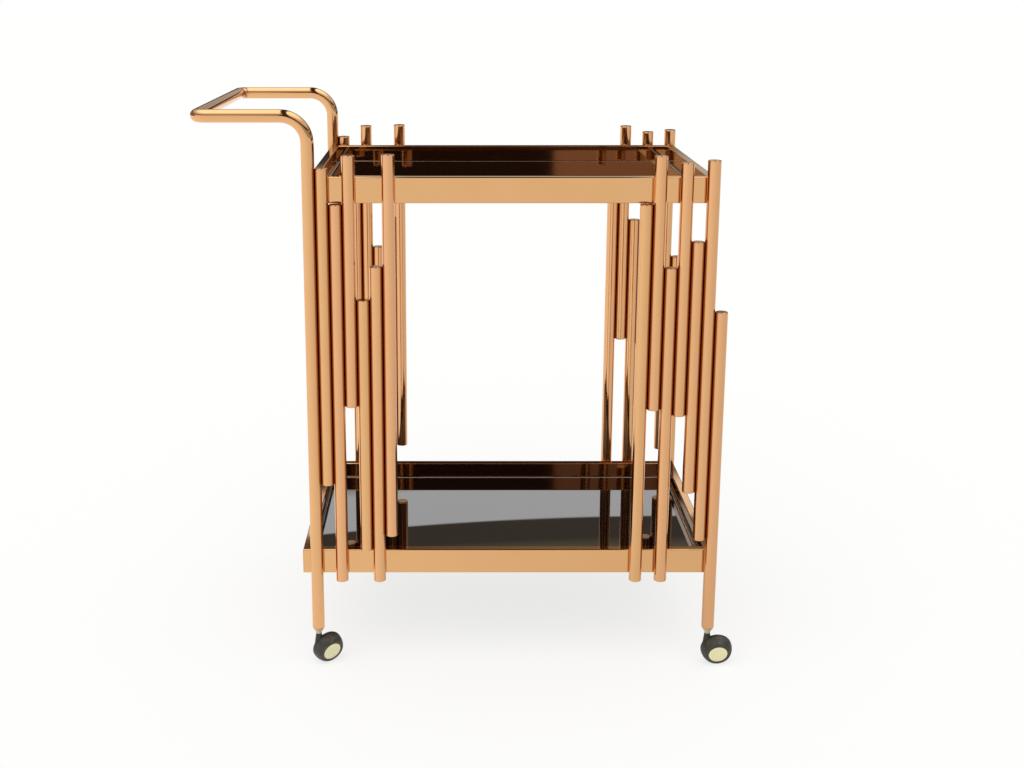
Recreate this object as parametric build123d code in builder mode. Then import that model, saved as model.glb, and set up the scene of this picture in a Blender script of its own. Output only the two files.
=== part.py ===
from build123d import *

import os
from math import cos, radians, sqrt

# A two-tier bar cart of polished tube, with dark glass shelves on four ball casters.
# +X runs along the trays away from the push handle, -Y is the front and +Z is up.
# The origin is on the floor, under the middle of the cart's outline. Sizes are in mm.

# Round tube of the legs, handle and corner screens
TUBE_OD = 19.0
TUBE_WALL = 1.0
CAP_THICKNESS = 1.5
CAP_EDGE = 1.2

# Legs and handle
LEG_SPACING = 598.0
RIGHT_LEG_RISE = 375.0
HANDLE_HEIGHT = 842.0
HANDLE_REACH = 157.0
HANDLE_BEND = 38.0
CORNER_BEND = 14.0
CORNER_TAIL = 2.0

# Rectangular tube of the two trays
RAIL_HEIGHT = 38.0
RAIL_WIDTH = 13.0
RAIL_WALL = 1.2
RAIL_EDGE = 1.5
TRAY_DEPTH = 400.0
UPPER_RIM = 754.0
LOWER_RIM = 183.0
UPPER_LEFT_LAP = 1.5
UPPER_RIGHT_LAP = 5.0
LOWER_LEFT_LAP = 22.5
LOWER_RIGHT_LAP = 5.0

# Glass shelves, the strips that carry them and the soft pads between
GLASS_THICKNESS = 6.0
GLASS_GAP = 2.0
GLASS_CORNER = 6.0
GLASS_BEVEL = 3.0
GLASS_EDGE = 0.6
LEDGE_WIDTH = 14.0
LEDGE_THICKNESS = 3.0
LEDGE_LIFT = 2.0
LEDGE_GAP = 1.0
PAD_DIAMETER = 10.0
PAD_THICKNESS = 1.0
PAD_INSET = 30.0
PADS_PER_SIDE = 3

# Staggered tubes of the corner screens, counted inwards from the leg beside them.
# Feet are heights over the lower rim, heads are heights over the upper rim.
FOOT_DROP = 7.5
UNDER_TRAY = -RAIL_HEIGHT - FOOT_DROP
LEFT_FEET = [109.0, UNDER_TRAY, 231.0, 5.0, UNDER_TRAY, 28.0]
LEFT_HEADS = [14.0, -RAIL_HEIGHT, 32.5, -178.0, -128.5, 34.0]
RIGHT_FEET = [21.0, 97.0, 217.0, UNDER_TRAY, 226.0, UNDER_TRAY]
RIGHT_HEADS = [25.5, -92.0, 22.0, -130.5, 32.0, -RAIL_HEIGHT]

# Ball caster: a domed wheel on a tilted axle, beside a moulded housing on a swivel stem
BALL_RADIUS = 24.0
CASTER_CLEARANCE = 12.0
CASTER_TRAIL = 15.0
AXLE_TILT = 17.0
WHEEL_FACE = 14.5
WHEEL_EDGE = 2.0
HUB_DIAMETER = 28.6
HUB_THICKNESS = 1.5
HUB_CROWN = 0.8
HUB_DISH_DIAMETER = 18.0
HUB_DISH_DEPTH = 0.7
AXLE_DIAMETER = 6.0
AXLE_HEAD_DIAMETER = 10.0
AXLE_HEAD_THICKNESS = 2.0
AXLE_BOSS_DIAMETER = 13.0
HOUSING_GAP = 0.5
HOUSING_DEPTH = 6.5
HOUSING_WALL = 2.0
HOUSING_EDGE = 4.5
HOUSING_LIFT = 8.0
STEM_BOSS_DIAMETER = 8.6
STEM_BOSS_BASE = 16.0
STEM_DIAMETER = 6.0
STEM_GRIP = 8.0
STEM_REACH = 16.0
STEM_TIP = 1.0
COLLAR_DIAMETER = 8.4
COLLAR_THICKNESS = 1.5

# Socket pushed into the foot of each leg, which holds the caster's stem
SOCKET_DEPTH = 22.0
NOSE_HEIGHT = 8.0
NOSE_TIP_DIAMETER = 9.0
NOSE_STEP = 0.5

# Clearances of the fits
RUNNING_FIT = 0.05
PUSH_FIT = 0.02
AXIAL_PLAY = 0.2

# Where each caster points at rest, in degrees about +Z
FRONT_LEFT_HEADING = 37.0
FRONT_RIGHT_HEADING = 3.0
HALF_TURN = 180.0
QUARTER_TURN = 90.0

# Places worked out from the sizes above
tube_radius = TUBE_OD / 2
tube_bore = tube_radius - TUBE_WALL
tube_y = TRAY_DEPTH / 2 + tube_radius
leg_foot = 2 * BALL_RADIUS + CASTER_CLEARANCE
handle_side = HANDLE_REACH + tube_radius
caster_side = CASTER_TRAIL * cos(radians(FRONT_RIGHT_HEADING)) + BALL_RADIUS
left_leg_x = (handle_side - LEG_SPACING - caster_side) / 2
right_leg_x = left_leg_x + LEG_SPACING
crossbar_x = left_leg_x - HANDLE_REACH
crossbar_half = tube_y - CORNER_BEND - CORNER_TAIL

stem_radius = STEM_DIAMETER / 2
axle_radius = AXLE_DIAMETER / 2
nose_tip_z = leg_foot - NOSE_HEIGHT
boss_top_z = nose_tip_z - AXIAL_PLAY - COLLAR_THICKNESS
hub_floor = WHEEL_FACE - HUB_THICKNESS
head_seat = hub_floor - AXLE_HEAD_THICKNESS - 2 * AXIAL_PLAY
axle_seat = HOUSING_WALL - HOUSING_DEPTH

front_rear = {"front": -1, "rear": 1}
headings = {
    "front_left": FRONT_LEFT_HEADING,
    "front_right": FRONT_RIGHT_HEADING,
    "rear_left": FRONT_RIGHT_HEADING + HALF_TURN,
    "rear_right": FRONT_LEFT_HEADING + HALF_TURN,
}


def write(piece, name):
    """Name a finished sub-part and write it to its own file."""
    piece.part.label = name
    export_step(piece.part, f"parts/{name}.step")


def tube_section():
    """Ring section of the round tube, for the sketch that is open."""
    Circle(tube_radius)
    Circle(tube_bore, mode=Mode.SUBTRACT)


def straight_tube(x, y, low, high):
    """Upright length of round tube, open at both ends."""
    with BuildPart() as tube:
        with BuildSketch(Plane((x, y, low))):
            tube_section()
        extrude(amount=high - low)
    return tube


def left_leg(side):
    """Leg that bends over at the top into an arm of the push handle and turns its corner."""
    y = side * tube_y
    with BuildPart() as leg:
        with BuildLine() as route:
            FilletPolyline(
                (left_leg_x, y, leg_foot),
                (left_leg_x, y, HANDLE_HEIGHT),
                (crossbar_x, y, HANDLE_HEIGHT),
                (crossbar_x, side * crossbar_half, HANDLE_HEIGHT),
                radius=[HANDLE_BEND, CORNER_BEND],
            )
        with BuildSketch(Plane((left_leg_x, y, leg_foot))):
            tube_section()
        sweep(path=route.line)
    return leg


def rail_section():
    """Hollow section of the rectangular tube, standing on its narrow side."""
    RectangleRounded(RAIL_WIDTH, RAIL_HEIGHT, RAIL_EDGE)
    Rectangle(RAIL_WIDTH - 2 * RAIL_WALL, RAIL_HEIGHT - 2 * RAIL_WALL, mode=Mode.SUBTRACT)


class Tray:
    """Outline and levels of one tray, from its two ends and its rim."""

    def __init__(self, left, right, rim):
        self.left = left
        self.right = right
        self.middle = (left + right) / 2
        self.length = right - left
        self.floor = rim - RAIL_HEIGHT
        self.rail_middle = rim - RAIL_HEIGHT / 2
        self.inner_length = self.length - 2 * RAIL_WIDTH
        self.inner_depth = TRAY_DEPTH - 2 * RAIL_WIDTH
        self.ledge_top = self.floor + LEDGE_LIFT + LEDGE_THICKNESS
        self.glass_bottom = self.ledge_top + PAD_THICKNESS

    def mitre(self, x, slant):
        """Upright plane through a front corner, at 45 degrees across both rails."""
        return Plane((x, -TRAY_DEPTH / 2, self.floor), z_dir=(slant, 1, 0))


def long_rails(tray):
    """Front and rear rails of a tray, with mitred ends."""
    rail_y = -(TRAY_DEPTH - RAIL_WIDTH) / 2
    across = Plane((tray.middle, rail_y, tray.rail_middle), x_dir=(0, 1, 0), z_dir=(1, 0, 0))
    with BuildPart() as rails:
        with BuildSketch(across):
            rail_section()
        extrude(amount=tray.length / 2, both=True)
        split(bisect_by=tray.mitre(tray.left, -1), keep=Keep.BOTTOM)
        split(bisect_by=tray.mitre(tray.right, 1), keep=Keep.BOTTOM)
        mirror(about=Plane.XZ)
    return rails


def end_rails(tray):
    """Left and right rails of a tray, mitred to the long ones."""
    rail_x = tray.left + RAIL_WIDTH / 2
    across = Plane((rail_x, 0, tray.rail_middle), x_dir=(1, 0, 0), z_dir=(0, -1, 0))
    with BuildPart() as rails:
        with BuildSketch(across):
            rail_section()
        extrude(amount=TRAY_DEPTH / 2)
        split(bisect_by=tray.mitre(tray.left, -1), keep=Keep.TOP)
        mirror(about=Plane.XZ)
        mirror(about=Plane.YZ.offset(tray.middle))
    return rails


def glass_ledges(tray):
    """Four flat strips inside the rails, which carry the glass."""
    ledge_plane = Plane((tray.middle, 0, tray.floor + LEDGE_LIFT))
    strip_y = (tray.inner_depth - LEDGE_WIDTH) / 2
    strip_x = (tray.inner_length - LEDGE_WIDTH) / 2
    short_strip = tray.inner_depth - 2 * LEDGE_WIDTH - 2 * LEDGE_GAP
    with BuildPart() as ledges:
        with BuildSketch(ledge_plane):
            with Locations((0, strip_y), (0, -strip_y)):
                Rectangle(tray.inner_length, LEDGE_WIDTH)
            with Locations((strip_x, 0), (-strip_x, 0)):
                Rectangle(LEDGE_WIDTH, short_strip)
        extrude(amount=LEDGE_THICKNESS)
    return ledges


def glass_shelf(tray):
    """Dark glass panel with rounded corners, a polished bevel above and an eased edge below."""
    with BuildPart() as glass:
        with BuildSketch(Plane((tray.middle, 0, tray.glass_bottom))):
            RectangleRounded(
                tray.inner_length - 2 * GLASS_GAP,
                tray.inner_depth - 2 * GLASS_GAP,
                GLASS_CORNER,
            )
        extrude(amount=GLASS_THICKNESS)
        chamfer(glass.faces().sort_by(Axis.Z)[-1].edges(), GLASS_BEVEL)
        chamfer(glass.faces().sort_by(Axis.Z)[0].edges(), GLASS_EDGE)
    return glass


def glass_pads(trays):
    """Soft round pads between the ledges and both glass shelves."""
    with BuildPart() as pads:
        for tray in trays:
            spread = tray.inner_length - 2 * PAD_INSET
            across = tray.inner_depth - LEDGE_WIDTH
            with BuildSketch(Plane((tray.middle, 0, tray.ledge_top))):
                with GridLocations(spread / (PADS_PER_SIDE - 1), across, PADS_PER_SIDE, 2):
                    Circle(PAD_DIAMETER / 2)
            extrude(amount=PAD_THICKNESS)
    return pads


def end_caps(places):
    """Flat discs that close the tubes, each with its outer edge rounded.

    A place holds the tube's x and y, the level of the closed end, and 1 for up or -1 for down.
    """
    with BuildPart() as caps:
        for x, y, level, way in places:
            with BuildSketch(Plane((x, y, level - way * CAP_THICKNESS))):
                Circle(tube_radius)
            extrude(amount=way * CAP_THICKNESS)
        outer_rims = [
            caps.edges().filter_by(GeomType.CIRCLE).sort_by_distance((x, y, level + way * tube_radius))[0]
            for x, y, level, way in places
        ]
        fillet(outer_rims, CAP_EDGE)
    return caps


def caster_sockets():
    """Push-in sockets in the four leg feet, each with a tapered nose and a stem bore."""
    nose_radius = tube_radius - NOSE_STEP
    with BuildPart() as sockets:
        for leg_x in (left_leg_x, right_leg_x):
            for side in front_rear.values():
                foot = Plane((leg_x, side * tube_y, leg_foot))
                with BuildSketch(foot):
                    Circle(tube_bore - PUSH_FIT)
                extrude(amount=SOCKET_DEPTH)
                with BuildSketch(foot):
                    Circle(nose_radius)
                with BuildSketch(foot.offset(-NOSE_HEIGHT)):
                    Circle(NOSE_TIP_DIAMETER / 2)
                loft()
                with BuildSketch(foot.offset(-NOSE_HEIGHT)):
                    Circle(stem_radius + RUNNING_FIT)
                extrude(amount=NOSE_HEIGHT + SOCKET_DEPTH, mode=Mode.SUBTRACT)
    return sockets


class Caster:
    """Planes of one caster: its upright swivel and its tilted axle."""

    def __init__(self, leg_x, leg_y, heading):
        self.swivel = Plane(Location((leg_x, leg_y, 0), (0, 0, heading)))
        ball = Location((CASTER_TRAIL, 0, BALL_RADIUS), (QUARTER_TURN + AXLE_TILT, 0, 0))
        self.axle = Plane(self.swivel.location * ball)
        self.axle_line = Axis(self.axle.origin, self.axle.z_dir)
        # Half section of the ball: its X is the radius and its Y runs out along the axle
        self.section = Plane(self.axle.origin, x_dir=self.axle.x_dir, z_dir=-self.axle.y_dir)


def ball_reach(depth, radius=BALL_RADIUS):
    """Radius of the ball at a distance along the axle from its middle."""
    return sqrt(radius**2 - depth**2)


def caster_wheel(caster):
    """Domed wheel with a recess for the hub cap and a seat for the axle's head."""
    bore = axle_radius + RUNNING_FIT
    head_bore = AXLE_HEAD_DIAMETER / 2 + AXIAL_PLAY
    recess = HUB_DIAMETER / 2 + RUNNING_FIT
    rim = (ball_reach(WHEEL_FACE), WHEEL_FACE)
    with BuildPart() as wheel:
        with BuildSketch(caster.section) as half:
            with BuildLine():
                dome = ThreePointArc(
                    (BALL_RADIUS, 0),
                    (ball_reach(WHEEL_FACE / 2), WHEEL_FACE / 2),
                    rim,
                )
                Polyline(
                    dome @ 1,
                    (recess, WHEEL_FACE),
                    (recess, hub_floor),
                    (head_bore, hub_floor),
                    (head_bore, head_seat),
                    (bore, head_seat),
                    (bore, 0),
                    dome @ 0,
                )
            make_face()
            fillet(half.vertices().sort_by_distance(rim)[0], WHEEL_EDGE)
        revolve(axis=caster.axle_line)
    return wheel


def hub_cap(caster):
    """Slightly crowned disc in the wheel's outer face, with a shallow dish in its middle."""
    edge = HUB_DIAMETER / 2
    with BuildPart() as cap:
        with BuildSketch(caster.section):
            with BuildLine():
                crown = ThreePointArc(
                    (edge, WHEEL_FACE),
                    (0, WHEEL_FACE + HUB_CROWN),
                    (-edge, WHEEL_FACE),
                )
                Polyline(crown @ 1, (-edge, hub_floor), (edge, hub_floor), crown @ 0)
            make_face()
            split(bisect_by=Plane.YZ)
        revolve(axis=caster.axle_line)
        with BuildSketch(caster.axle.offset(WHEEL_FACE + HUB_CROWN)):
            Circle(HUB_DISH_DIAMETER / 2)
        extrude(amount=-HUB_DISH_DEPTH, mode=Mode.SUBTRACT)
    return cap


def caster_axle(caster):
    """Headed pin from the housing through the wheel."""
    with BuildPart() as axle:
        with BuildSketch(caster.axle.offset(axle_seat)):
            Circle(axle_radius)
        extrude(amount=head_seat + AXIAL_PLAY - axle_seat)
        with BuildSketch(caster.axle.offset(head_seat + AXIAL_PLAY)):
            Circle(AXLE_HEAD_DIAMETER / 2)
        extrude(amount=AXLE_HEAD_THICKNESS)
    return axle


def caster_housing(caster):
    """Moulded cover beside the wheel, with bosses for the axle and the swivel stem."""
    boss = AXLE_BOSS_DIAMETER / 2
    inner_face = -HOUSING_GAP
    clear_ball = BALL_RADIUS + HOUSING_GAP
    clear_rim = ball_reach(HOUSING_GAP, clear_ball)
    stem_hole = Plane(caster.swivel.origin + Vector(0, 0, boss_top_z))
    with BuildPart() as housing:
        with BuildSketch(caster.section) as half:
            with BuildLine():
                Polyline(
                    (0, -HOUSING_DEPTH),
                    (BALL_RADIUS, -HOUSING_DEPTH),
                    (BALL_RADIUS, inner_face),
                    (BALL_RADIUS - HOUSING_WALL, inner_face),
                    (BALL_RADIUS - HOUSING_WALL - HOUSING_EDGE / 2, axle_seat),
                    (boss, axle_seat),
                    (boss, inner_face),
                    (0, inner_face),
                    close=True,
                )
            make_face()
            fillet(half.vertices().sort_by_distance((BALL_RADIUS, -HOUSING_DEPTH))[0], HOUSING_EDGE)
        revolve(axis=caster.axle_line)
        split(bisect_by=Plane.XY.offset(HOUSING_LIFT), keep=Keep.TOP)
        with BuildSketch(Plane(caster.swivel.origin + Vector(0, 0, BALL_RADIUS))):
            Circle(STEM_BOSS_BASE / 2)
        with BuildSketch(stem_hole):
            Circle(STEM_BOSS_DIAMETER / 2)
        loft()
        with BuildSketch(caster.section):
            with BuildLine():
                ThreePointArc(
                    (clear_rim, inner_face),
                    (ball_reach(clear_ball / 2, clear_ball), clear_ball / 2),
                    (0, clear_ball),
                )
                Polyline((0, clear_ball), (0, inner_face), (clear_rim, inner_face))
            make_face()
        revolve(axis=caster.axle_line, mode=Mode.SUBTRACT)
        with BuildSketch(stem_hole):
            Circle(stem_radius + PUSH_FIT)
        extrude(amount=-STEM_GRIP, mode=Mode.SUBTRACT)
        with BuildSketch(caster.axle.offset(axle_seat)):
            Circle(axle_radius + PUSH_FIT)
        extrude(amount=inner_face - axle_seat, mode=Mode.SUBTRACT)
    return housing


def caster_stem(caster):
    """Swivel pin from the housing into the leg's socket, with a collar that carries the load."""
    boss_top = Plane(caster.swivel.origin + Vector(0, 0, boss_top_z))
    stem_length = STEM_GRIP + leg_foot + STEM_REACH - boss_top_z
    with BuildPart() as stem:
        with BuildSketch(boss_top.offset(-STEM_GRIP)):
            Circle(stem_radius)
        extrude(amount=stem_length)
        chamfer(stem.faces().sort_by(Axis.Z)[-1].edges(), STEM_TIP)
        with BuildSketch(boss_top):
            Circle(COLLAR_DIAMETER / 2)
        extrude(amount=COLLAR_THICKNESS)
    return stem


os.makedirs("parts", exist_ok=True)

# Trays, glass and what carries it
upper_tray = Tray(
    left_leg_x - UPPER_LEFT_LAP,
    right_leg_x - TUBE_OD + UPPER_RIGHT_LAP,
    UPPER_RIM,
)
lower_tray = Tray(left_leg_x - LOWER_LEFT_LAP, right_leg_x + LOWER_RIGHT_LAP, LOWER_RIM)
for level, tray in {"upper": upper_tray, "lower": lower_tray}.items():
    write(long_rails(tray), f"{level}_long_rails")
    write(end_rails(tray), f"{level}_end_rails")
    write(glass_ledges(tray), f"{level}_glass_ledges")
    write(glass_shelf(tray), f"{level}_glass")
write(glass_pads([upper_tray, lower_tray]), "glass_pads")

# Legs, handle and the staggered tubes of the four corners
cap_places = []
right_leg_top = LOWER_RIM + RIGHT_LEG_RISE
screens = {
    "left": (left_leg_x, TUBE_OD, LEFT_FEET, LEFT_HEADS),
    "right": (right_leg_x, -TUBE_OD, RIGHT_FEET, RIGHT_HEADS),
}
for place, side in front_rear.items():
    y = side * tube_y
    write(left_leg(side), f"{place}_left_leg")
    write(straight_tube(right_leg_x, y, leg_foot, right_leg_top - CAP_THICKNESS), f"{place}_right_leg")
    cap_places.append((right_leg_x, y, right_leg_top, 1))
    for end, (leg_x, pitch, feet, heads) in screens.items():
        for number, (foot, head) in enumerate(zip(feet, heads), start=1):
            x = leg_x + number * pitch
            low = LOWER_RIM + foot
            high = UPPER_RIM + head
            tube = straight_tube(x, y, low + CAP_THICKNESS, high - CAP_THICKNESS)
            write(tube, f"{place}_{end}_tube_{number}")
            cap_places.append((x, y, low, -1))
            cap_places.append((x, y, high, 1))
write(end_caps(cap_places), "tube_end_caps")

with BuildPart() as crossbar:
    with BuildSketch(Plane((crossbar_x, 0, HANDLE_HEIGHT), x_dir=(1, 0, 0), z_dir=(0, 1, 0))):
        tube_section()
    extrude(amount=crossbar_half, both=True)
write(crossbar, "handle_crossbar")

# Casters
write(caster_sockets(), "caster_sockets")
for corner, heading in headings.items():
    place, end = corner.split("_")
    leg_x = left_leg_x if end == "left" else right_leg_x
    caster = Caster(leg_x, front_rear[place] * tube_y, heading)
    write(caster_housing(caster), f"{corner}_caster_housing")
    write(caster_stem(caster), f"{corner}_caster_stem")
    write(caster_axle(caster), f"{corner}_caster_axle")
    write(caster_wheel(caster), f"{corner}_caster_wheel")
    write(hub_cap(caster), f"{corner}_hub_cap")
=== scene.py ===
# %% [markdown]
# # Dressing a rose-gold bar cart
#
# The cart is two trays of rectangular tube on two pairs of legs, with a screen of staggered round
# tubes at each corner, dark glass in the trays and a ball caster under every leg. Its solids, joints
# and collision shapes are already made and arrive here as a fixed frame in metres. This lesson gives
# that frame its looks. It never moves a solid: a piece that should look smoother than the frame is
# drawn over it and stands in for it.

# %% Load the frame
import math

import bpy
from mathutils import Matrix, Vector


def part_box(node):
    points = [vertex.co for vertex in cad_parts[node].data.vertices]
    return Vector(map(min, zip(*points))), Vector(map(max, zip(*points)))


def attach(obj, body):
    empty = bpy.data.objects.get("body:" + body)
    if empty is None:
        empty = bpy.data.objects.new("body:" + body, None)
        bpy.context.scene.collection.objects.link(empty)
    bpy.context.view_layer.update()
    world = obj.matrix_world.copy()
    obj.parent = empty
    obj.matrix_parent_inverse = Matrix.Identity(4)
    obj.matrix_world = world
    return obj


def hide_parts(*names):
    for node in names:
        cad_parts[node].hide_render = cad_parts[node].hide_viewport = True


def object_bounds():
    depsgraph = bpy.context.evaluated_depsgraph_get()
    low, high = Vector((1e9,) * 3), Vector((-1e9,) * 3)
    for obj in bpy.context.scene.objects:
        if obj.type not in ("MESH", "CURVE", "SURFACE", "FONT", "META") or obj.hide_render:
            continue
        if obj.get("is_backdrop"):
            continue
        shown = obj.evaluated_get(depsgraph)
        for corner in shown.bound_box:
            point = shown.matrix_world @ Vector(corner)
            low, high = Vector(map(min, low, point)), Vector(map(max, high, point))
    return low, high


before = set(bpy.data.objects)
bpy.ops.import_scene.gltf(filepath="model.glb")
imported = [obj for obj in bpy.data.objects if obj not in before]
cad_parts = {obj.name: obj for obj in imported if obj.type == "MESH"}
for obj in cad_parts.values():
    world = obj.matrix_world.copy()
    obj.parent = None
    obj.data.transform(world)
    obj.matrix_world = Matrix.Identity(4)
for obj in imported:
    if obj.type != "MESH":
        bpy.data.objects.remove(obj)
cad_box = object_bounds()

print("overall size", cad_box[1] - cad_box[0])

# %% [markdown]
# ## Two helpers for every finish
#
# A finish is a small graph of nodes. Written out in full, each node takes four or five lines, so one
# helper adds a node, sets its properties and fills its inputs, either with a value or with a link
# from an earlier node. A socket goes by its name, or by its index where several sockets of a node
# share a name, as on Math and Mix. Colours are picked on screen as hex values, while the shader works
# with linear light, so a second helper turns one into the other.

# %% Helpers
MM = 0.001
# Sockets of a Mix node that mixes colours: its three inputs and its output.
SHARE = 0
FIRST = 6
SECOND = 7
MIXED = 2


def add(tree, kind, inputs=None, **settings):
    """Adds a node to a tree, sets its properties, and sets or links its inputs."""
    node = tree.nodes.new(kind)
    for name, value in settings.items():
        setattr(node, name, value)
    for socket, value in (inputs or {}).items():
        if isinstance(value, bpy.types.NodeSocket):
            tree.links.new(value, node.inputs[socket])
        else:
            node.inputs[socket].default_value = value
    return node


def linear(hex_colour):
    """Turns an sRGB hex colour into the linear values that a shader reads."""
    shares = [int(hex_colour[place:place + 2], 16) / 255 for place in (1, 3, 5)]
    light = [
        share / 12.92 if share <= 0.04045 else ((share + 0.055) / 1.055) ** 2.4
        for share in shares
    ]
    return light + [1.0]


print("mid grey is", [round(share, 3) for share in linear("#808080")[:3]], "in linear light")

# %% [markdown]
# ## One layered surface for many finishes
#
# Metal, moulded plastic and rubber share a build-up: two close tones that drift into each other in
# soft clouds, a fine grain that makes the gloss uneven, and a faint relief of the same grain. Only
# the sizes, colours and shader values differ. So one function lays those three layers, and a finish
# that needs more builds on the nodes named clouds and tone. The pattern is placed by the piece's own
# coordinates in real sizes, or by an attribute that follows a bent tube.

# %% Layered surface
NOISE_SPAN = (0.25, 0.75)  # nearly all values of a noise lie in here


def layered(name, tones, gloss, cloud, grain, relief, place=None, variant=None):
    """A surface with clouded tones, a grained gloss and the relief of that grain.

    tones are two hex colours and gloss is the lowest and highest roughness. cloud is the size of a
    cloud, grain the size of a grain along three axes and relief its height, all in metres. place is
    an attribute with the coordinates to use, and variant one that gives every piece of a set a
    pattern of its own.
    """
    material = bpy.data.materials.new(name)
    material.use_nodes = True
    tree = material.node_tree
    seed = 0.0
    if variant:
        seed = add(tree, "ShaderNodeAttribute", attribute_name=variant).outputs["Fac"]
    if place:
        spot = add(tree, "ShaderNodeAttribute", attribute_name=place).outputs["Vector"]
    else:
        spot = add(tree, "ShaderNodeTexCoord").outputs["Object"]
    clouds = add(
        tree, "ShaderNodeTexNoise",
        {"Vector": spot, "W": seed, "Scale": 1 / cloud, "Detail": 3.0},
        noise_dimensions="4D", name="clouds",
    )
    stretched = add(
        tree, "ShaderNodeVectorMath",
        {0: spot, 1: [1 / size for size in grain]},
        operation="MULTIPLY",
    )
    grains = add(
        tree, "ShaderNodeTexNoise",
        {"Vector": stretched.outputs["Vector"], "W": seed, "Scale": 1.0, "Detail": 2.0},
        noise_dimensions="4D",
    )
    tone = add(
        tree, "ShaderNodeMix",
        {SHARE: clouds.outputs["Fac"], FIRST: linear(tones[0]), SECOND: linear(tones[1])},
        data_type="RGBA", name="tone",
    )
    shine = add(
        tree, "ShaderNodeMapRange",
        {
            "Value": grains.outputs["Fac"], "From Min": NOISE_SPAN[0], "From Max": NOISE_SPAN[1],
            "To Min": gloss[0], "To Max": gloss[1],
        },
    )
    bump = add(tree, "ShaderNodeBump", {"Distance": relief, "Height": grains.outputs["Fac"]})
    shader = tree.nodes["Principled BSDF"]
    tree.links.new(tone.outputs[MIXED], shader.inputs["Base Color"])
    tree.links.new(shine.outputs["Result"], shader.inputs["Roughness"])
    tree.links.new(bump.outputs["Normal"], shader.inputs["Normal"])
    return material


print("layered surface ready")

# %% [markdown]
# ## Rose-gold steel
#
# The tubes and rails are stainless steel, polished along their length and then ion-plated with a thin
# rose-gold coat. The coat follows the polish, so the surface is a warm mirror with very fine lines
# along each tube. Its thickness differs a little from tube to tube, which shifts the colour between
# tan and pink. In the grooves between two tubes the colour is darker: painted shade. A flat metal
# would show none of that, so the tone of the tubes gets a second mix, driven by the tube's own
# number, and a third one, of painted shade, where an occlusion node finds a groove.

# %% Rose-gold steel
PLATING_TONES = ("#DAA771", "#E0AF7C")
PLATING_CLOUD = 70 * MM
PINKER_PLATING = "#E2A87E"
PINKER_SHARE = 0.6
# Painted shade: the tubes' tone darkens to this where an occlusion node finds a groove between them.
GROOVE_PAINTED_SHADE = "#BD8556"
GROOVE_REACH = 10 * MM
GROOVE_OPENNESS = (0.94, 0.7)  # where the dark of a groove begins, and where it is full
POLISH_WIDTH = 1.0 * MM  # real polishing lines are a tenth of this, too fine to show from a step away
POLISH_LENGTH = 90 * MM
POLISH_DEPTH = 0.002 * MM


def rose_gold_steel(name, gloss, grain, place=None, variant=None):
    """Ion-plated polished steel: a warm mirror, softly streaked along its grain."""
    material = layered(
        name, PLATING_TONES, gloss,
        cloud=PLATING_CLOUD, grain=grain, relief=POLISH_DEPTH, place=place, variant=variant,
    )
    tree = material.node_tree
    shader = tree.nodes["Principled BSDF"]
    shader.inputs["Metallic"].default_value = 1.0
    if variant:
        number = add(tree, "ShaderNodeAttribute", attribute_name=variant).outputs["Fac"]
        chance = add(tree, "ShaderNodeTexWhiteNoise", {"W": number}, noise_dimensions="1D")
        share = add(
            tree, "ShaderNodeMath",
            {0: chance.outputs["Value"], 1: PINKER_SHARE}, operation="MULTIPLY",
        )
        pinker = add(
            tree, "ShaderNodeMix",
            {
                SHARE: share.outputs["Value"], FIRST: tree.nodes["tone"].outputs[MIXED],
                SECOND: linear(PINKER_PLATING),
            },
            data_type="RGBA",
        )
        # Painted shade: where neighbouring tubes close a surface in, its colour is darkened towards
        # the groove tone.
        hemmed_in = add(tree, "ShaderNodeAmbientOcclusion", {"Distance": GROOVE_REACH}, samples=8)
        groove = add(
            tree, "ShaderNodeMapRange",
            {
                "Value": hemmed_in.outputs["AO"],
                "From Min": GROOVE_OPENNESS[0], "From Max": GROOVE_OPENNESS[1],
            },
        )
        shaded = add(
            tree, "ShaderNodeMix",
            {
                SHARE: groove.outputs["Result"], FIRST: pinker.outputs[MIXED],
                SECOND: linear(GROOVE_PAINTED_SHADE),
            },
            data_type="RGBA",
        )
        tree.links.new(shaded.outputs[MIXED], shader.inputs["Base Color"])
    return material


print("plating changes its tone over about", round(PLATING_CLOUD / MM), "mm")

# %% Steel for tubes and rails
# Tubes: a warm mirror, a little soft, streaked lengthwise, no two quite the same pink, painted shade
# in grooves.
TUBE_GLOSS = (0.06, 0.11)
tube_steel = rose_gold_steel(
    "rose_gold_tube", TUBE_GLOSS, (POLISH_WIDTH, POLISH_WIDTH, POLISH_LENGTH),
    place="grain", variant="tube",
)
# Rails: the same plating on flat faces with a sharper polish, its lines along each rail.
RAIL_GLOSS = (0.02, 0.045)
long_rail_steel = rose_gold_steel(
    "rose_gold_long_rail", RAIL_GLOSS, (POLISH_LENGTH, POLISH_WIDTH, POLISH_WIDTH),
)
end_rail_steel = rose_gold_steel(
    "rose_gold_end_rail", RAIL_GLOSS, (POLISH_WIDTH, POLISH_LENGTH, POLISH_WIDTH),
)
print("steel for tubes, long rails and end rails")

# %% [markdown]
# ## Black glass
#
# Each shelf is a sheet of tempered black glass with a mirror-like face. What the eye reads is almost
# only reflection, strongest at a low angle, over a body that is nearly black with a trace of brown. A
# plain glossy black would look like lacquer, so the index of refraction is raised to match the strong
# reflections, and faint wipe marks break the gloss.

# %% Black glass
# Glass: a black mirror that shows the room, with wipe marks along the shelf.
black_glass = layered(
    "tempered_black_glass", ("#0B0706", "#100A08"), gloss=(0.004, 0.014),
    cloud=120 * MM, grain=(160 * MM, 45 * MM, 45 * MM), relief=0.0,
)
glass_shader = black_glass.node_tree.nodes["Principled BSDF"]
glass_shader.inputs["IOR"].default_value = 2.6
glass_shader.inputs["Specular IOR Level"].default_value = 0.7
print("glass reflects at an index of", glass_shader.inputs["IOR"].default_value)

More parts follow.
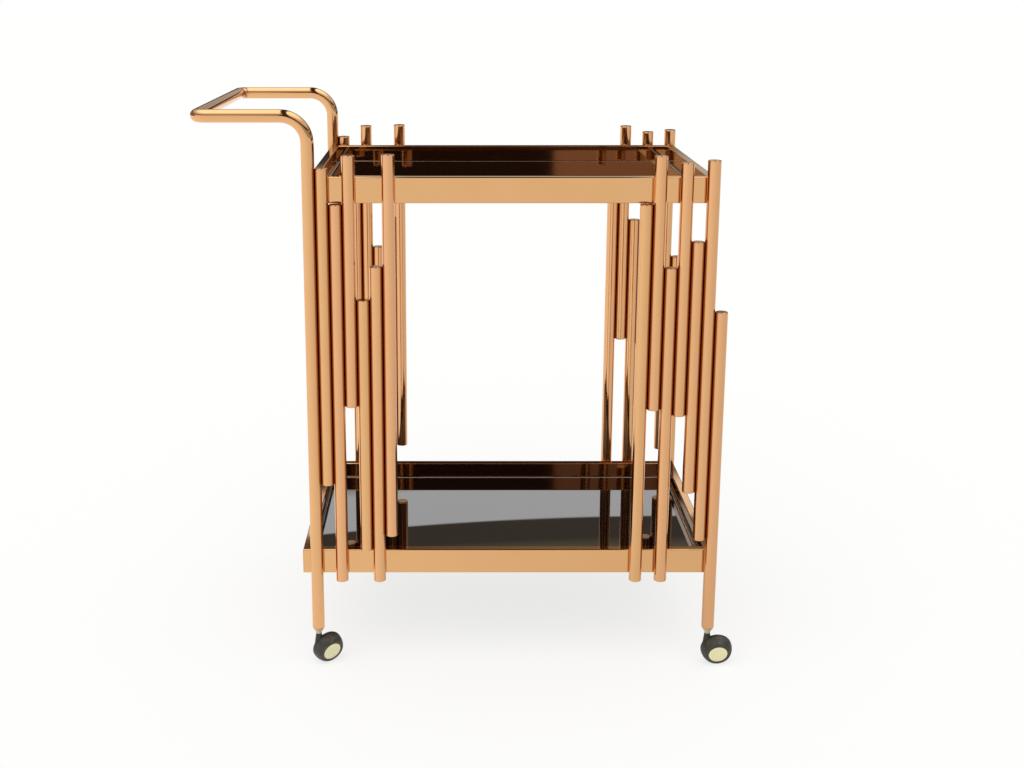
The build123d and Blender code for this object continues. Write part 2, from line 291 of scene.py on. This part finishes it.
# %% [markdown]
# ## Caster finishes
#
# The caster housings are moulded nylon with a fine spark-eroded texture, and the wheels a softer,
# duller polymer that picks up dust. The hub caps are cream plastic, glossier and slightly crowned.
# All are layered surfaces with different grit. The wheel adds a veil of dust where its noise is high,
# because a black tyre is never evenly black.

# %% Caster finishes
# Housing: a soft black whose fine grit keeps highlights broad and dull.
nylon = layered(
    "moulded_black_nylon", ("#211F1B", "#2C2924"), gloss=(0.34, 0.5),
    cloud=14 * MM, grain=(0.7 * MM,) * 3, relief=0.02 * MM,
)
# Cap: a warm cream with an even, half-glossy face.
cream = layered(
    "cream_moulded_cap", ("#FCF6C8", "#F7F0BC"), gloss=(0.22, 0.32),
    cloud=10 * MM, grain=(0.6 * MM,) * 3, relief=0.004 * MM,
)
# Wheel: a browner and duller black than the housing, dusty in patches.
tyre = layered(
    "black_polyurethane_tyre", ("#312F27", "#3D3A30"), gloss=(0.42, 0.6),
    cloud=9 * MM, grain=(0.5 * MM,) * 3, relief=0.012 * MM,
)
DUST = "#7D766A"
DUST_SPAN = (0.5, 0.75)  # cloud values between which the dust thickens
DUST_MOST = 0.25
tree = tyre.node_tree
dust_spread = add(
    tree, "ShaderNodeMapRange",
    {
        "Value": tree.nodes["clouds"].outputs["Fac"],
        "From Min": DUST_SPAN[0], "From Max": DUST_SPAN[1], "To Min": 0.0, "To Max": DUST_MOST,
    },
)
dusty = add(
    tree, "ShaderNodeMix",
    {
        SHARE: dust_spread.outputs["Result"], FIRST: tree.nodes["tone"].outputs[MIXED],
        SECOND: linear(DUST),
    },
    data_type="RGBA",
)
tree.links.new(dusty.outputs[MIXED], tree.nodes["Principled BSDF"].inputs["Base Color"])
print("nylon, cream caps and tyre")

# %% [markdown]
# ## Small fittings
#
# The socket in each leg is a tan moulded plug. Stems and axles are zinc-plated steel, made from drawn
# rod, so their fine grain is longer upwards than across. The pads under the glass are clear silicone,
# which passes light and blurs it. All three are small, so the layered surface is enough for them.

# %% Small fittings
# Socket: a pale tan with the half gloss of a moulding.
socket_tan = layered(
    "tan_moulded_socket", ("#E3C49C", "#DDBB90"), gloss=(0.25, 0.36),
    cloud=8 * MM, grain=(0.5 * MM,) * 3, relief=0.006 * MM,
)
# Zinc: a cool grey metal with a soft shine.
zinc = layered(
    "zinc_plated_steel", ("#C9C7C0", "#BDBAB0"), gloss=(0.24, 0.38),
    cloud=5 * MM, grain=(0.4 * MM, 0.4 * MM, 3 * MM), relief=0.003 * MM,
)
zinc.node_tree.nodes["Principled BSDF"].inputs["Metallic"].default_value = 1.0
# Pads: milky, with light passing through.
silicone = layered(
    "clear_silicone_pad", ("#F2F2EE", "#E9E9E4"), gloss=(0.3, 0.42),
    cloud=4 * MM, grain=(0.5 * MM,) * 3, relief=0.004 * MM,
)
silicone_shader = silicone.node_tree.nodes["Principled BSDF"]
silicone_shader.inputs["Transmission Weight"].default_value = 0.8
silicone_shader.inputs["IOR"].default_value = 1.41
print("socket, zinc and silicone")

# %% [markdown]
# ## Finishes on the carried-over solids
#
# Many solids of the frame already have the right shape, so they stay and only take a finish. Each
# arrives with a plain material named after its slot in the record, and that name picks the finish.
# The rails are told apart by direction, because their polish runs lengthwise.

# %% Dress the solids
slot_finishes = {
    "rose_gold_steel": long_rail_steel,
    "black_glass": black_glass,
    "black_nylon": nylon,
    "black_rubber": tyre,
    "cream_hub": cream,
    "pale_gold_socket": socket_tan,
    "zinc_steel": zinc,
    "clear_silicone": silicone,
}
for name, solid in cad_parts.items():
    slot = solid.data.materials[0].name
    solid.data.materials[0] = end_rail_steel if name.endswith("end_rails") else slot_finishes[slot]
print("dressed", len(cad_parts), "solids from", len(slot_finishes), "slots")

# %% [markdown]
# ## A tube that follows a path
#
# Legs, handle and screens are all one round tube, cut to length and here and there bent. The frame's
# own tubes have about twenty flat sides, which a mirror finish would show at once. Each could be
# redrawn as a cylinder, but the bent ones could not, so a tree of geometry nodes grows a tube along
# any path of edges. Its sizes and its finish are inputs, so that one tree serves thick and thin tubes.

# %% Tube tree: inputs
TUBE_SOCKETS = {
    "Paths": "NodeSocketGeometry",
    "Tube Radius": "NodeSocketFloat",
    "Sides": "NodeSocketInt",
    "Bend Steps": "NodeSocketInt",
    "Finish": "NodeSocketMaterial",
}
tubes = bpy.data.node_groups.new("tube_along_path", "GeometryNodeTree")
tube_inputs = {}
for name, kind in TUBE_SOCKETS.items():
    socket = tubes.interface.new_socket(name, in_out="INPUT", socket_type=kind)
    tube_inputs[name] = socket.identifier
tubes.interface.new_socket("Tubes", in_out="OUTPUT", socket_type="NodeSocketGeometry")
given = add(tubes, "NodeGroupInput").outputs
print("tube tree with inputs", list(tube_inputs))

# %% [markdown]
# ## Bent path and round section
#
# Each point of a path carries its own bend radius, so one node can round a tight corner and a wide
# bend of the same tube. Polish lines should follow the bends, which plain coordinates can't do. So
# the path keeps how far along it each point lies, and the circle that will be swept keeps where on
# it each point lies.

# %% Tube tree: path and section
bend_radius = add(tubes, "GeometryNodeInputNamedAttribute", {"Name": "bend"})
path = add(tubes, "GeometryNodeMeshToCurve", {"Mesh": given["Paths"]})
bent = add(
    tubes, "GeometryNodeFilletCurve",
    {
        "Curve": path.outputs["Curve"], "Count": given["Bend Steps"],
        "Radius": bend_radius.outputs["Attribute"], "Limit Radius": True,
    },
    mode="POLY",
)
path_place = add(tubes, "GeometryNodeSplineParameter")
measured = add(
    tubes, "GeometryNodeStoreNamedAttribute",
    {"Geometry": bent.outputs["Curve"], "Name": "along", "Value": path_place.outputs["Length"]},
)
circle = add(
    tubes, "GeometryNodeCurvePrimitiveCircle",
    {"Resolution": given["Sides"], "Radius": given["Tube Radius"]},
)
circle_place = add(tubes, "GeometryNodeInputPosition")
section = add(
    tubes, "GeometryNodeStoreNamedAttribute",
    {
        "Geometry": circle.outputs["Curve"], "Name": "grain",
        "Value": circle_place.outputs["Position"],
    },
    data_type="FLOAT_VECTOR",
)
print("path and section take", len(tubes.nodes), "nodes")

# %% [markdown]
# ## Skin and grain
#
# The circle is swept along the path, scaled at each point by the girth that the path carries, which
# narrows the tube at its ends. Place on the circle and length along the path then join into one
# coordinate, as if the tube had never been bent, and the polish reads that. The tree ends by making
# everything real and giving it its finish.

# %% Tube tree: skin and grain
girth_share = add(tubes, "GeometryNodeInputNamedAttribute", {"Name": "girth"})
skin = add(
    tubes, "GeometryNodeCurveToMesh",
    {
        "Curve": measured.outputs["Geometry"], "Profile Curve": section.outputs["Geometry"],
        "Scale": girth_share.outputs["Attribute"], "Fill Caps": True,
    },
)
around = add(
    tubes, "GeometryNodeInputNamedAttribute", {"Name": "grain"}, data_type="FLOAT_VECTOR",
)
along = add(tubes, "GeometryNodeInputNamedAttribute", {"Name": "along"})
upward = add(tubes, "ShaderNodeCombineXYZ", {"Z": along.outputs["Attribute"]})
unbent = add(
    tubes, "ShaderNodeVectorMath",
    {0: around.outputs["Attribute"], 1: upward.outputs["Vector"]}, operation="ADD",
)
marked = add(
    tubes, "GeometryNodeStoreNamedAttribute",
    {"Geometry": skin.outputs["Mesh"], "Name": "grain", "Value": unbent.outputs["Vector"]},
    data_type="FLOAT_VECTOR",
)
smooth = add(tubes, "GeometryNodeSetShadeSmooth", {"Geometry": marked.outputs["Geometry"]})
real = add(tubes, "GeometryNodeRealizeInstances", {"Geometry": smooth.outputs["Geometry"]})
finished = add(
    tubes, "GeometryNodeSetMaterial",
    {"Geometry": real.outputs["Geometry"], "Material": given["Finish"]},
)
add(tubes, "NodeGroupOutput", {"Tubes": finished.outputs["Geometry"]})
print("whole tube tree has", len(tubes.nodes), "nodes")

# %% [markdown]
# ## Paths with turned ends
#
# A tube end is closed by a flat disc, welded in and polished, so its edge is slightly round and
# catches a thin line of light. A sharp edge would look cut from paper. Each path therefore gets a few
# extra points close to its ends, and their girth follows a quarter circle. One more ring stands just
# past every round edge and bend: without it, smooth shading would spread the edge's tilt over the
# whole tube and draw dark wedges on it.

# %% Paths
EDGE_RADIUS = 1.2 * MM
EDGE_STEPS = 4
STEADY_RUN = 1.5 * MM
tube_low, tube_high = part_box("front_right_leg")
tube_radius = (tube_high.x - tube_low.x) / 2


def turned_path(points, bends=()):
    """A path with rounded ends: points, each with its bend radius and its share of full girth."""
    rings = []
    for step in range(EDGE_STEPS + 1):
        angle = math.radians(90) * step / EDGE_STEPS
        depth = EDGE_RADIUS * (1 - math.cos(angle))
        rings.append((depth, 1 - EDGE_RADIUS / tube_radius * (1 - math.sin(angle))))
    rings.append((EDGE_RADIUS + STEADY_RUN, 1.0))
    inward = (points[1] - points[0]).normalized()
    back = (points[-2] - points[-1]).normalized()
    start = [(points[0] + inward * depth, 0.0, girth) for depth, girth in rings]
    corners = []
    for before, corner, after, bend in zip(points, points[1:], points[2:], bends):
        run = bend + STEADY_RUN
        corners.append((corner + (before - corner).normalized() * run, 0.0, 1.0))
        corners.append((corner, bend, 1.0))
        corners.append((corner + (after - corner).normalized() * run, 0.0, 1.0))
    end = [(points[-1] + back * depth, 0.0, girth) for depth, girth in reversed(rings)]
    return start + corners + end


print("tubes have a radius of", round(tube_radius / MM, 2), "mm")

# %% [markdown]
# ## From paths to pieces
#
# The paths of one piece are drawn as loose edges in one mesh, whose points carry the bend, the girth
# and the number of their tube. The tree turns them into tubes, and the result is kept as a plain mesh
# without the modifier, because the cart is also used where no geometry nodes run. Steel tubes take
# the place of the frame's own.

# %% Pieces
TUBE_SIDES = 56
BEND_STEPS = 14


def tube_piece(name, paths, first_number, radius, sides, finish):
    """Grows tubes on the paths, numbered from first_number, as one piece of the frame."""
    points = []
    edges = []
    bends = []
    girths = []
    numbers = []
    for number, path in enumerate(paths, start=first_number):
        edges += [(len(points) + step, len(points) + step + 1) for step in range(len(path) - 1)]
        for point, bend, girth in path:
            points.append(point)
            bends.append(bend)
            girths.append(girth)
            numbers.append(float(number))
    mesh = bpy.data.meshes.new(name)
    mesh.from_pydata(points, edges, [])
    for attribute, values in (("bend", bends), ("girth", girths), ("tube", numbers)):
        mesh.attributes.new(attribute, "FLOAT", "POINT").data.foreach_set("value", values)
    piece = bpy.data.objects.new(name, mesh)
    bpy.context.scene.collection.objects.link(piece)
    growth = piece.modifiers.new("tubes", "NODES")
    growth.node_group = tubes
    growth[tube_inputs["Tube Radius"]] = radius
    growth[tube_inputs["Sides"]] = sides
    growth[tube_inputs["Bend Steps"]] = BEND_STEPS
    growth[tube_inputs["Finish"]] = finish
    evaluated = piece.evaluated_get(bpy.context.evaluated_depsgraph_get())
    grown = bpy.data.meshes.new_from_object(evaluated)
    piece.modifiers.clear()
    piece.data = grown
    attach(piece, "frame")
    print(name, "has", len(paths), "tubes and", len(grown.polygons), "faces")
    return piece


def steel_piece(name, paths, first_number, nodes):
    """Steel tubes on the paths, in place of the solids with those names."""
    piece = tube_piece(
        name, paths, first_number, tube_radius, TUBE_SIDES, tube_steel,
    )
    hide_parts(*nodes)


print("steel tubes get", TUBE_SIDES, "sides, and", BEND_STEPS, "steps in a bend")

# %% [markdown]
# ## The four screens
#
# Beside each leg stand six tubes, touching side by side, with feet and heads at different levels: the
# cart's whole rhythm. The frame's solids give the places, and the closing discs, which are a solid of
# their own, the last bit of length. On the right the short leg belongs to the screen.

# %% Corner screens
TUBES_PER_SCREEN = 6
tube_numbers = range(1, TUBES_PER_SCREEN + 1)
lowest_tube = min(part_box(f"front_left_tube_{number}")[0].z for number in tube_numbers)
lowest_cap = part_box("tube_end_caps")[0].z
cap_thickness = lowest_tube - lowest_cap


def upright(node, cap_below):
    """Path of an upright tube from the solid's own box, with its closing discs."""
    low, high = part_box(node)
    middle = (low + high) / 2
    foot = low.z - (cap_thickness if cap_below else 0.0)
    head = high.z + cap_thickness
    return turned_path([Vector((middle.x, middle.y, foot)), Vector((middle.x, middle.y, head))])


next_number = 1
for place in ("front", "rear"):
    for end in ("left", "right"):
        nodes = [f"{place}_{end}_tube_{number}" for number in tube_numbers]
        paths = [upright(node, True) for node in nodes]
        if end == "right":
            nodes.append(f"{place}_right_leg")
            paths.append(upright(nodes[-1], False))
        steel_piece(f"{place}_{end}_screen", paths, next_number, nodes)
        next_number += len(paths)

# %% [markdown]
# ## Handle and left legs
#
# From one left foot to the other runs what looks like a single tube: up the leg, over a wide bend,
# along the arm, round a tight corner into the crossbar, and back the same way. Drawn as one path with
# a bend radius at each corner, the polish runs through without a break.

# %% Handle
HANDLE_BEND = 38 * MM
CORNER_BEND = 14 * MM
front_low, front_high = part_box("front_left_leg")
rear_low, rear_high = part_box("rear_left_leg")
leg_x = front_high.x - tube_radius
bar_x = front_low.x + tube_radius
bar_z = front_high.z - tube_radius
front_y = front_low.y + tube_radius
rear_y = rear_high.y - tube_radius
handle_points = [
    Vector((leg_x, front_y, front_low.z)),
    Vector((leg_x, front_y, bar_z)),
    Vector((bar_x, front_y, bar_z)),
    Vector((bar_x, rear_y, bar_z)),
    Vector((leg_x, rear_y, bar_z)),
    Vector((leg_x, rear_y, rear_low.z)),
]
handle_bends = [HANDLE_BEND, CORNER_BEND, CORNER_BEND, HANDLE_BEND]
steel_piece(
    "handle_and_left_legs", [turned_path(handle_points, handle_bends)], next_number,
    ["front_left_leg", "rear_left_leg", "handle_crossbar", "tube_end_caps"],
)

# %% [markdown]
# ## Beads round the glass
#
# A thin light line runs along the rear edge of each shelf: a bead of cloudy silicone, which fills the
# gap between the glass and the rails. It could be a flat ring, but a real bead is round and sinks a
# little below the glass, so that only its crest shows from a low angle. The tube tree makes it too,
# with a thinner tube and a path round the glass.

# %% Glass beads
GLASS_CORNER = 6 * MM
BEAD_SIDES = 12
BEAD_PRESS = 0.1 * MM
BEAD_DROP = 1.4 * MM
# Bead: a dull grey line, a little uneven, because silicone is smoothed by hand.
cloudy_silicone = layered(
    "cloudy_silicone_bead", ("#8F8F8B", "#9A9A96"), gloss=(0.32, 0.45),
    cloud=6 * MM, grain=(0.6 * MM,) * 3, relief=0.006 * MM,
)
for level in ("upper", "lower"):
    glass_low, glass_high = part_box(f"{level}_glass")
    half_gap = (glass_low.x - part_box(f"{level}_glass_ledges")[0].x) / 2
    left = glass_low.x - half_gap
    right = glass_high.x + half_gap
    front_edge = glass_low.y - half_gap
    rear_edge = glass_high.y + half_gap
    glass_corners = [(left, rear_edge), (right, rear_edge), (right, front_edge), (left, front_edge)]
    start = (left, (front_edge + rear_edge) / 2)
    outline = [start, *glass_corners, start]
    route = [Vector((x, y, glass_high.z - BEAD_DROP)) for x, y in outline]
    bead_path = turned_path(route, [GLASS_CORNER + half_gap] * len(glass_corners))
    tube_piece(
        f"{level}_glass_bead", [bead_path], 1, half_gap + BEAD_PRESS, BEAD_SIDES,
        cloudy_silicone,
    )

# %% [markdown]
# ## Floor
#
# A plain pale floor carries the soft shadow and, just as important, is what nearly all the upright
# metal reflects: a camera that looks down on an upright mirror sees the floor in it. Rays from the
# camera and from reflections find a darker paint with a glow of its own, so that the floor meets the
# white background without a seam and still shows a light shadow. In reflections that glow is stronger
# on the left than on the right, which makes the tubes look round. All other rays find the pale paint,
# which throws daylight back up under the trays.

# %% Floor
FLOOR_HALF = 40.0
floor_corners = [(-1, -1), (1, -1), (1, 1), (-1, 1)]
floor_mesh = bpy.data.meshes.new("floor")
floor_mesh.from_pydata(
    [(x * FLOOR_HALF, y * FLOOR_HALF, 0) for x, y in floor_corners], [],
    [range(len(floor_corners))],
)
floor = bpy.data.objects.new("floor", floor_mesh)
bpy.context.scene.collection.objects.link(floor)
floor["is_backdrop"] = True
print("floor of", 2 * FLOOR_HALF, "m")

# %% Floor paint
SEEN_PAINT = "#949492"
# Paint: pale and matt, with clouds so faint that they only keep it from looking flat.
floor_paint = layered(
    "pale_floor", ("#E6E6E4", "#E9E9E7"), gloss=(0.8, 0.9),
    cloud=900 * MM, grain=(4 * MM,) * 3, relief=0.0,
)
tree = floor_paint.node_tree
ray = add(tree, "ShaderNodeLightPath").outputs
seen = add(
    tree, "ShaderNodeMath",
    {0: ray["Is Camera Ray"], 1: ray["Is Glossy Ray"]}, operation="MAXIMUM",
)
paint = add(
    tree, "ShaderNodeMix",
    {
        SHARE: seen.outputs["Value"], FIRST: tree.nodes["tone"].outputs[MIXED],
        SECOND: linear(SEEN_PAINT),
    },
    data_type="RGBA",
)
print("floor paint is", SEEN_PAINT, "where it is seen")

# %% Floor glow
WHITE = "#FFFFFF"
FLOOR_GLOW = 0.72
SIDE_SHARE = 0.2
spot = add(tree, "ShaderNodeTexCoord").outputs["Object"]
bearing = add(tree, "ShaderNodeVectorMath", {0: spot}, operation="NORMALIZE").outputs["Vector"]
sideways = add(tree, "ShaderNodeSeparateXYZ", {"Vector": bearing}).outputs["X"]
side_light = add(
    tree, "ShaderNodeMath", {0: sideways, 1: -SIDE_SHARE, 2: 1.0}, operation="MULTIPLY_ADD",
)
mirrored = add(
    tree, "ShaderNodeMath",
    {0: ray["Is Glossy Ray"], 1: side_light.outputs["Value"]}, operation="MULTIPLY",
)
lit = add(
    tree, "ShaderNodeMath",
    {0: ray["Is Camera Ray"], 1: mirrored.outputs["Value"]}, operation="MAXIMUM",
)
glow = add(
    tree, "ShaderNodeMath", {0: lit.outputs["Value"], 1: FLOOR_GLOW}, operation="MULTIPLY",
)
floor_shader = tree.nodes["Principled BSDF"]
floor_shader.inputs["Specular IOR Level"].default_value = 0.0
floor_shader.inputs["Emission Color"].default_value = linear(WHITE)
tree.links.new(paint.outputs[MIXED], floor_shader.inputs["Base Color"])
tree.links.new(glow.outputs["Value"], floor_shader.inputs["Emission Strength"])
floor.data.materials.append(floor_paint)
print("floor glows at", FLOOR_GLOW)

# %% [markdown]
# ## The room in colour ramps
#
# Polished metal and black glass look like what surrounds them, so the room matters more than the
# lamps. It could be built from walls and panels, but a mirror only asks what lies in a direction, so
# a few colour ramps by height above the horizon are enough. In front the wall is white at its base
# and dark above, and a warm panel hangs beside the camera: the inner faces of the rear rails show
# both. To the left and right the walls are pale up to some height, more so on the left, where the
# arms of the handle show them. Behind, the wall is dark to just above the horizon, for the tops of
# the rear rails, then paler, for those of the front ones. Higher up it is dark again, up to a white
# strip, for the lower glass.

# %% Room colours
WALL_DARK = "#281A18"
LEFT_WALL = "#F2EEE8"
RIGHT_WALL = "#B8B4AE"
CEILING = "#EDEDED"
room_ramps = {
    "front": [(5.4, WHITE), (6.3, WALL_DARK), (25, WALL_DARK), (32, CEILING)],
    "panel": [(5.4, WHITE), (6.3, "#AA877C"), (24, "#7C6159"), (32, CEILING)],
    "left": [
        (2.5, WHITE), (3.2, LEFT_WALL), (17, LEFT_WALL),
        (20, WALL_DARK), (25, WALL_DARK), (32, CEILING),
    ],
    "right": [
        (2.5, WHITE), (3.2, RIGHT_WALL), (17, RIGHT_WALL),
        (20, WALL_DARK), (25, WALL_DARK), (32, CEILING),
    ],
    "behind": [
        (0, "#6A5A52"), (7.0, "#3A2A26"), (7.3, "#A79C92"), (7.9, "#C4BDB4"), (11, "#ACA6A0"),
        (18, WALL_DARK), (20.3, WALL_DARK), (20.7, WHITE),
    ],
    "above strip": [(23.0, "#5A5048"), (23.4, "#867962"), (33, CEILING)],
}
print("the room has", sum(len(stops) for stops in room_ramps.values()), "colour stops")

# %% Room ramps
STRIP_SLANT = 0.06  # how much the strip behind rises to the left


def sine(degrees):
    """A direction's coordinate along an axis, from its angle to the plane of the other two."""
    return math.sin(math.radians(degrees))


world = bpy.data.worlds.new("studio")
bpy.context.scene.world = world
world.use_nodes = True
tree = world.node_tree
tree.nodes.clear()
direction = add(tree, "ShaderNodeTexCoord").outputs["Generated"]
axes = add(tree, "ShaderNodeSeparateXYZ", {"Vector": direction}).outputs
slanted = add(
    tree, "ShaderNodeMath",
    {0: axes["X"], 1: STRIP_SLANT, 2: axes["Z"]}, operation="MULTIPLY_ADD",
)
met = {}
for side, stops in room_ramps.items():
    height = slanted.outputs["Value"] if side in ("behind", "above strip") else axes["Z"]
    ramp = add(tree, "ShaderNodeValToRGB", {"Fac": height})
    while len(ramp.color_ramp.elements) < len(stops):
        ramp.color_ramp.elements.new(1.0)
    for element, (elevation, colour) in zip(ramp.color_ramp.elements, stops):
        element.position = sine(elevation)
        element.color = linear(colour)
    met[side] = ramp.outputs["Color"]
print("room ramps", list(met))

# %% [markdown]
# ## Walls around the cart
#
# The ramps are now joined by direction. In front, the panel has sharp sides and the walls to the left
# and right take over within a degree or so. Behind, the white strip ends in an edge so sharp that a
# ramp, which is kept as a short table, would blur it, so what lies above the strip is a ramp of its
# own, and a narrow range of height switches between the two.

# %% Walls in front
PANEL_MIDDLE = sine(6.2)
PANEL_HALF = sine(2.1)
WALL_TURNS = {"left": (-6.6, -7.7), "right": (9.2, 10.5)}  # where each begins, and where it is all
at_panel = add(
    tree, "ShaderNodeMath",
    {0: axes["X"], 1: PANEL_MIDDLE, 2: PANEL_HALF}, operation="COMPARE",
)
front = add(
    tree, "ShaderNodeMix",
    {SHARE: at_panel.outputs["Value"], FIRST: met["front"], SECOND: met["panel"]},
    data_type="RGBA",
)
for side, (begins, is_all) in WALL_TURNS.items():
    turned = add(
        tree, "ShaderNodeMapRange",
        {"Value": axes["X"], "From Min": sine(begins), "From Max": sine(is_all)},
    )
    front = add(
        tree, "ShaderNodeMix",
        {SHARE: turned.outputs["Result"], FIRST: front.outputs[MIXED], SECOND: met[side]},
        data_type="RGBA",
    )
print("side walls begin at", [begins for begins, is_all in WALL_TURNS.values()], "degrees")

# %% Wall behind
STRIP_TOP = sine(22.18)
STRIP_EDGE = sine(0.03)
FRONT_END = -0.35  # the front fades into what is behind from here to straight sideways
over_strip = add(
    tree, "ShaderNodeMapRange",
    {
        "Value": slanted.outputs["Value"],
        "From Min": STRIP_TOP - STRIP_EDGE, "From Max": STRIP_TOP + STRIP_EDGE,
    },
)
behind = add(
    tree, "ShaderNodeMix",
    {SHARE: over_strip.outputs["Result"], FIRST: met["behind"], SECOND: met["above strip"]},
    data_type="RGBA",
)
turned_back = add(
    tree, "ShaderNodeMapRange",
    {"Value": axes["Y"], "From Min": FRONT_END, "From Max": 0.0},
    interpolation_type="SMOOTHSTEP",
)
walls = add(
    tree, "ShaderNodeMix",
    {SHARE: turned_back.outputs["Result"], FIRST: front.outputs[MIXED], SECOND: behind.outputs[MIXED]},
    data_type="RGBA",
)
print("walls joined from", len(tree.nodes), "nodes")

# %% [markdown]
# ## Ceiling
#
# One very large soft light hangs overhead and gives the handle its bright upper side. A dark beam
# with soft sides runs across the ceiling above the cart. The round edge of a rail mirrors a whole
# line of the ceiling, so without the beam each dark tray would have a bright gold rim at the rear.

# %% Ceiling
BEAM_MIDDLE = sine(2.6)
BEAM_HALF = sine(4.2)
BEAM_FADE = sine(7.2)
BEAM_EDGE = sine(26)
BEAM_FULL = sine(30)
SOFTBOX_EDGE = sine(40)
SOFTBOX_FULL = sine(62)
SOFTBOX_GAIN = 2.2
off_beam = add(tree, "ShaderNodeMath", {0: axes["X"], 1: BEAM_MIDDLE}, operation="SUBTRACT")
from_beam = add(tree, "ShaderNodeMath", {0: off_beam.outputs["Value"]}, operation="ABSOLUTE")
under_beam = add(
    tree, "ShaderNodeMapRange",
    {"Value": from_beam.outputs["Value"], "From Min": BEAM_FADE, "From Max": BEAM_HALF},
    interpolation_type="SMOOTHSTEP",
)
beam_height = add(
    tree, "ShaderNodeMapRange",
    {"Value": axes["Z"], "From Min": BEAM_EDGE, "From Max": BEAM_FULL},
)
beam = add(
    tree, "ShaderNodeMath",
    {0: under_beam.outputs["Result"], 1: beam_height.outputs["Result"]}, operation="MULTIPLY",
)
beamed = add(
    tree, "ShaderNodeMix",
    {SHARE: beam.outputs["Value"], FIRST: walls.outputs[MIXED], SECOND: linear(WALL_DARK)},
    data_type="RGBA",
)
overhead = add(
    tree, "ShaderNodeMapRange",
    {
        "Value": axes["Z"], "From Min": SOFTBOX_EDGE, "From Max": SOFTBOX_FULL,
        "To Min": 1.0, "To Max": SOFTBOX_GAIN,
    },
    interpolation_type="SMOOTHSTEP",
)
room = add(
    tree, "ShaderNodeVectorMath",
    {0: beamed.outputs[MIXED], "Scale": overhead.outputs["Result"]}, operation="SCALE",
)
print("ceiling brightens by", SOFTBOX_GAIN)

# %% [markdown]
# ## Light
#
# Only reflections see the room. The camera itself, also through clear silicone, sees plain white, and
# everything that scatters light gets an even grey level, so that colours come out about as they are
# written. A lamp adds the direction. It is very wide, which keeps its shadow soft, and it stays out of
# the reflections, which have their light already.

# %% Light
AMBIENT = 0.7
ray = add(tree, "ShaderNodeLightPath").outputs
lighting = add(
    tree, "ShaderNodeMix",
    {
        SHARE: ray["Is Glossy Ray"], FIRST: [AMBIENT] * 3 + [1.0],
        SECOND: room.outputs["Vector"],
    },
    data_type="RGBA",
)
plain_view = add(
    tree, "ShaderNodeMath",
    {0: ray["Is Camera Ray"], 1: ray["Is Transmission Ray"]}, operation="MAXIMUM",
)
shown = add(
    tree, "ShaderNodeMix",
    {SHARE: plain_view.outputs["Value"], FIRST: lighting.outputs[MIXED], SECOND: linear(WHITE)},
    data_type="RGBA",
)
background = add(tree, "ShaderNodeBackground", {"Color": shown.outputs[MIXED], "Strength": 1.0})
add(tree, "ShaderNodeOutputWorld", {"Surface": background.outputs["Background"]})

lamp = bpy.data.lights.new("overhead_softbox", "SUN")
lamp.energy = 1.0
lamp.angle = math.radians(70)
softbox = bpy.data.objects.new("overhead_softbox", lamp)
softbox.rotation_euler = (math.radians(35), math.radians(-12), 0)
softbox.visible_glossy = False
bpy.context.scene.collection.objects.link(softbox)
print("even light of", AMBIENT, "and softbox of", lamp.energy)

# %% [markdown]
# ## Camera
#
# The view looks along the cart's depth from a little above the handle. The lens and the place were
# worked out from where the legs, rims and handle fall in the picture, and a small shift of the lens
# puts the cart where the picture has it.

# %% Camera
CAMERA_PLACE = (-0.026, -2.160, 1.025)
LOOK_DOWN = math.radians(13.06)
LOOK_RIGHT = math.radians(0.04)
eye = bpy.data.cameras.new("front_camera")
eye.lens = 48.4
eye.shift_x = 0.055
eye.shift_y = -0.08
camera = bpy.data.objects.new("front_camera", eye)
camera.location = CAMERA_PLACE
camera.rotation_euler = (math.radians(90) - LOOK_DOWN, 0, -LOOK_RIGHT)
bpy.context.scene.collection.objects.link(camera)
bpy.context.scene.camera = camera
bpy.context.scene.view_settings.view_transform = "Standard"
print("camera at", CAMERA_PLACE)

# %% [markdown]
# ## Sizes and finish
#
# The looks must not change the cart's size, so its box is compared with the frame's own.

# %% Finish
dressed_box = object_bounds()
box_growth = (dressed_box[1] - dressed_box[0]) - (cad_box[1] - cad_box[0])
print("box grew by", [round(value / MM, 3) for value in box_growth], "mm")
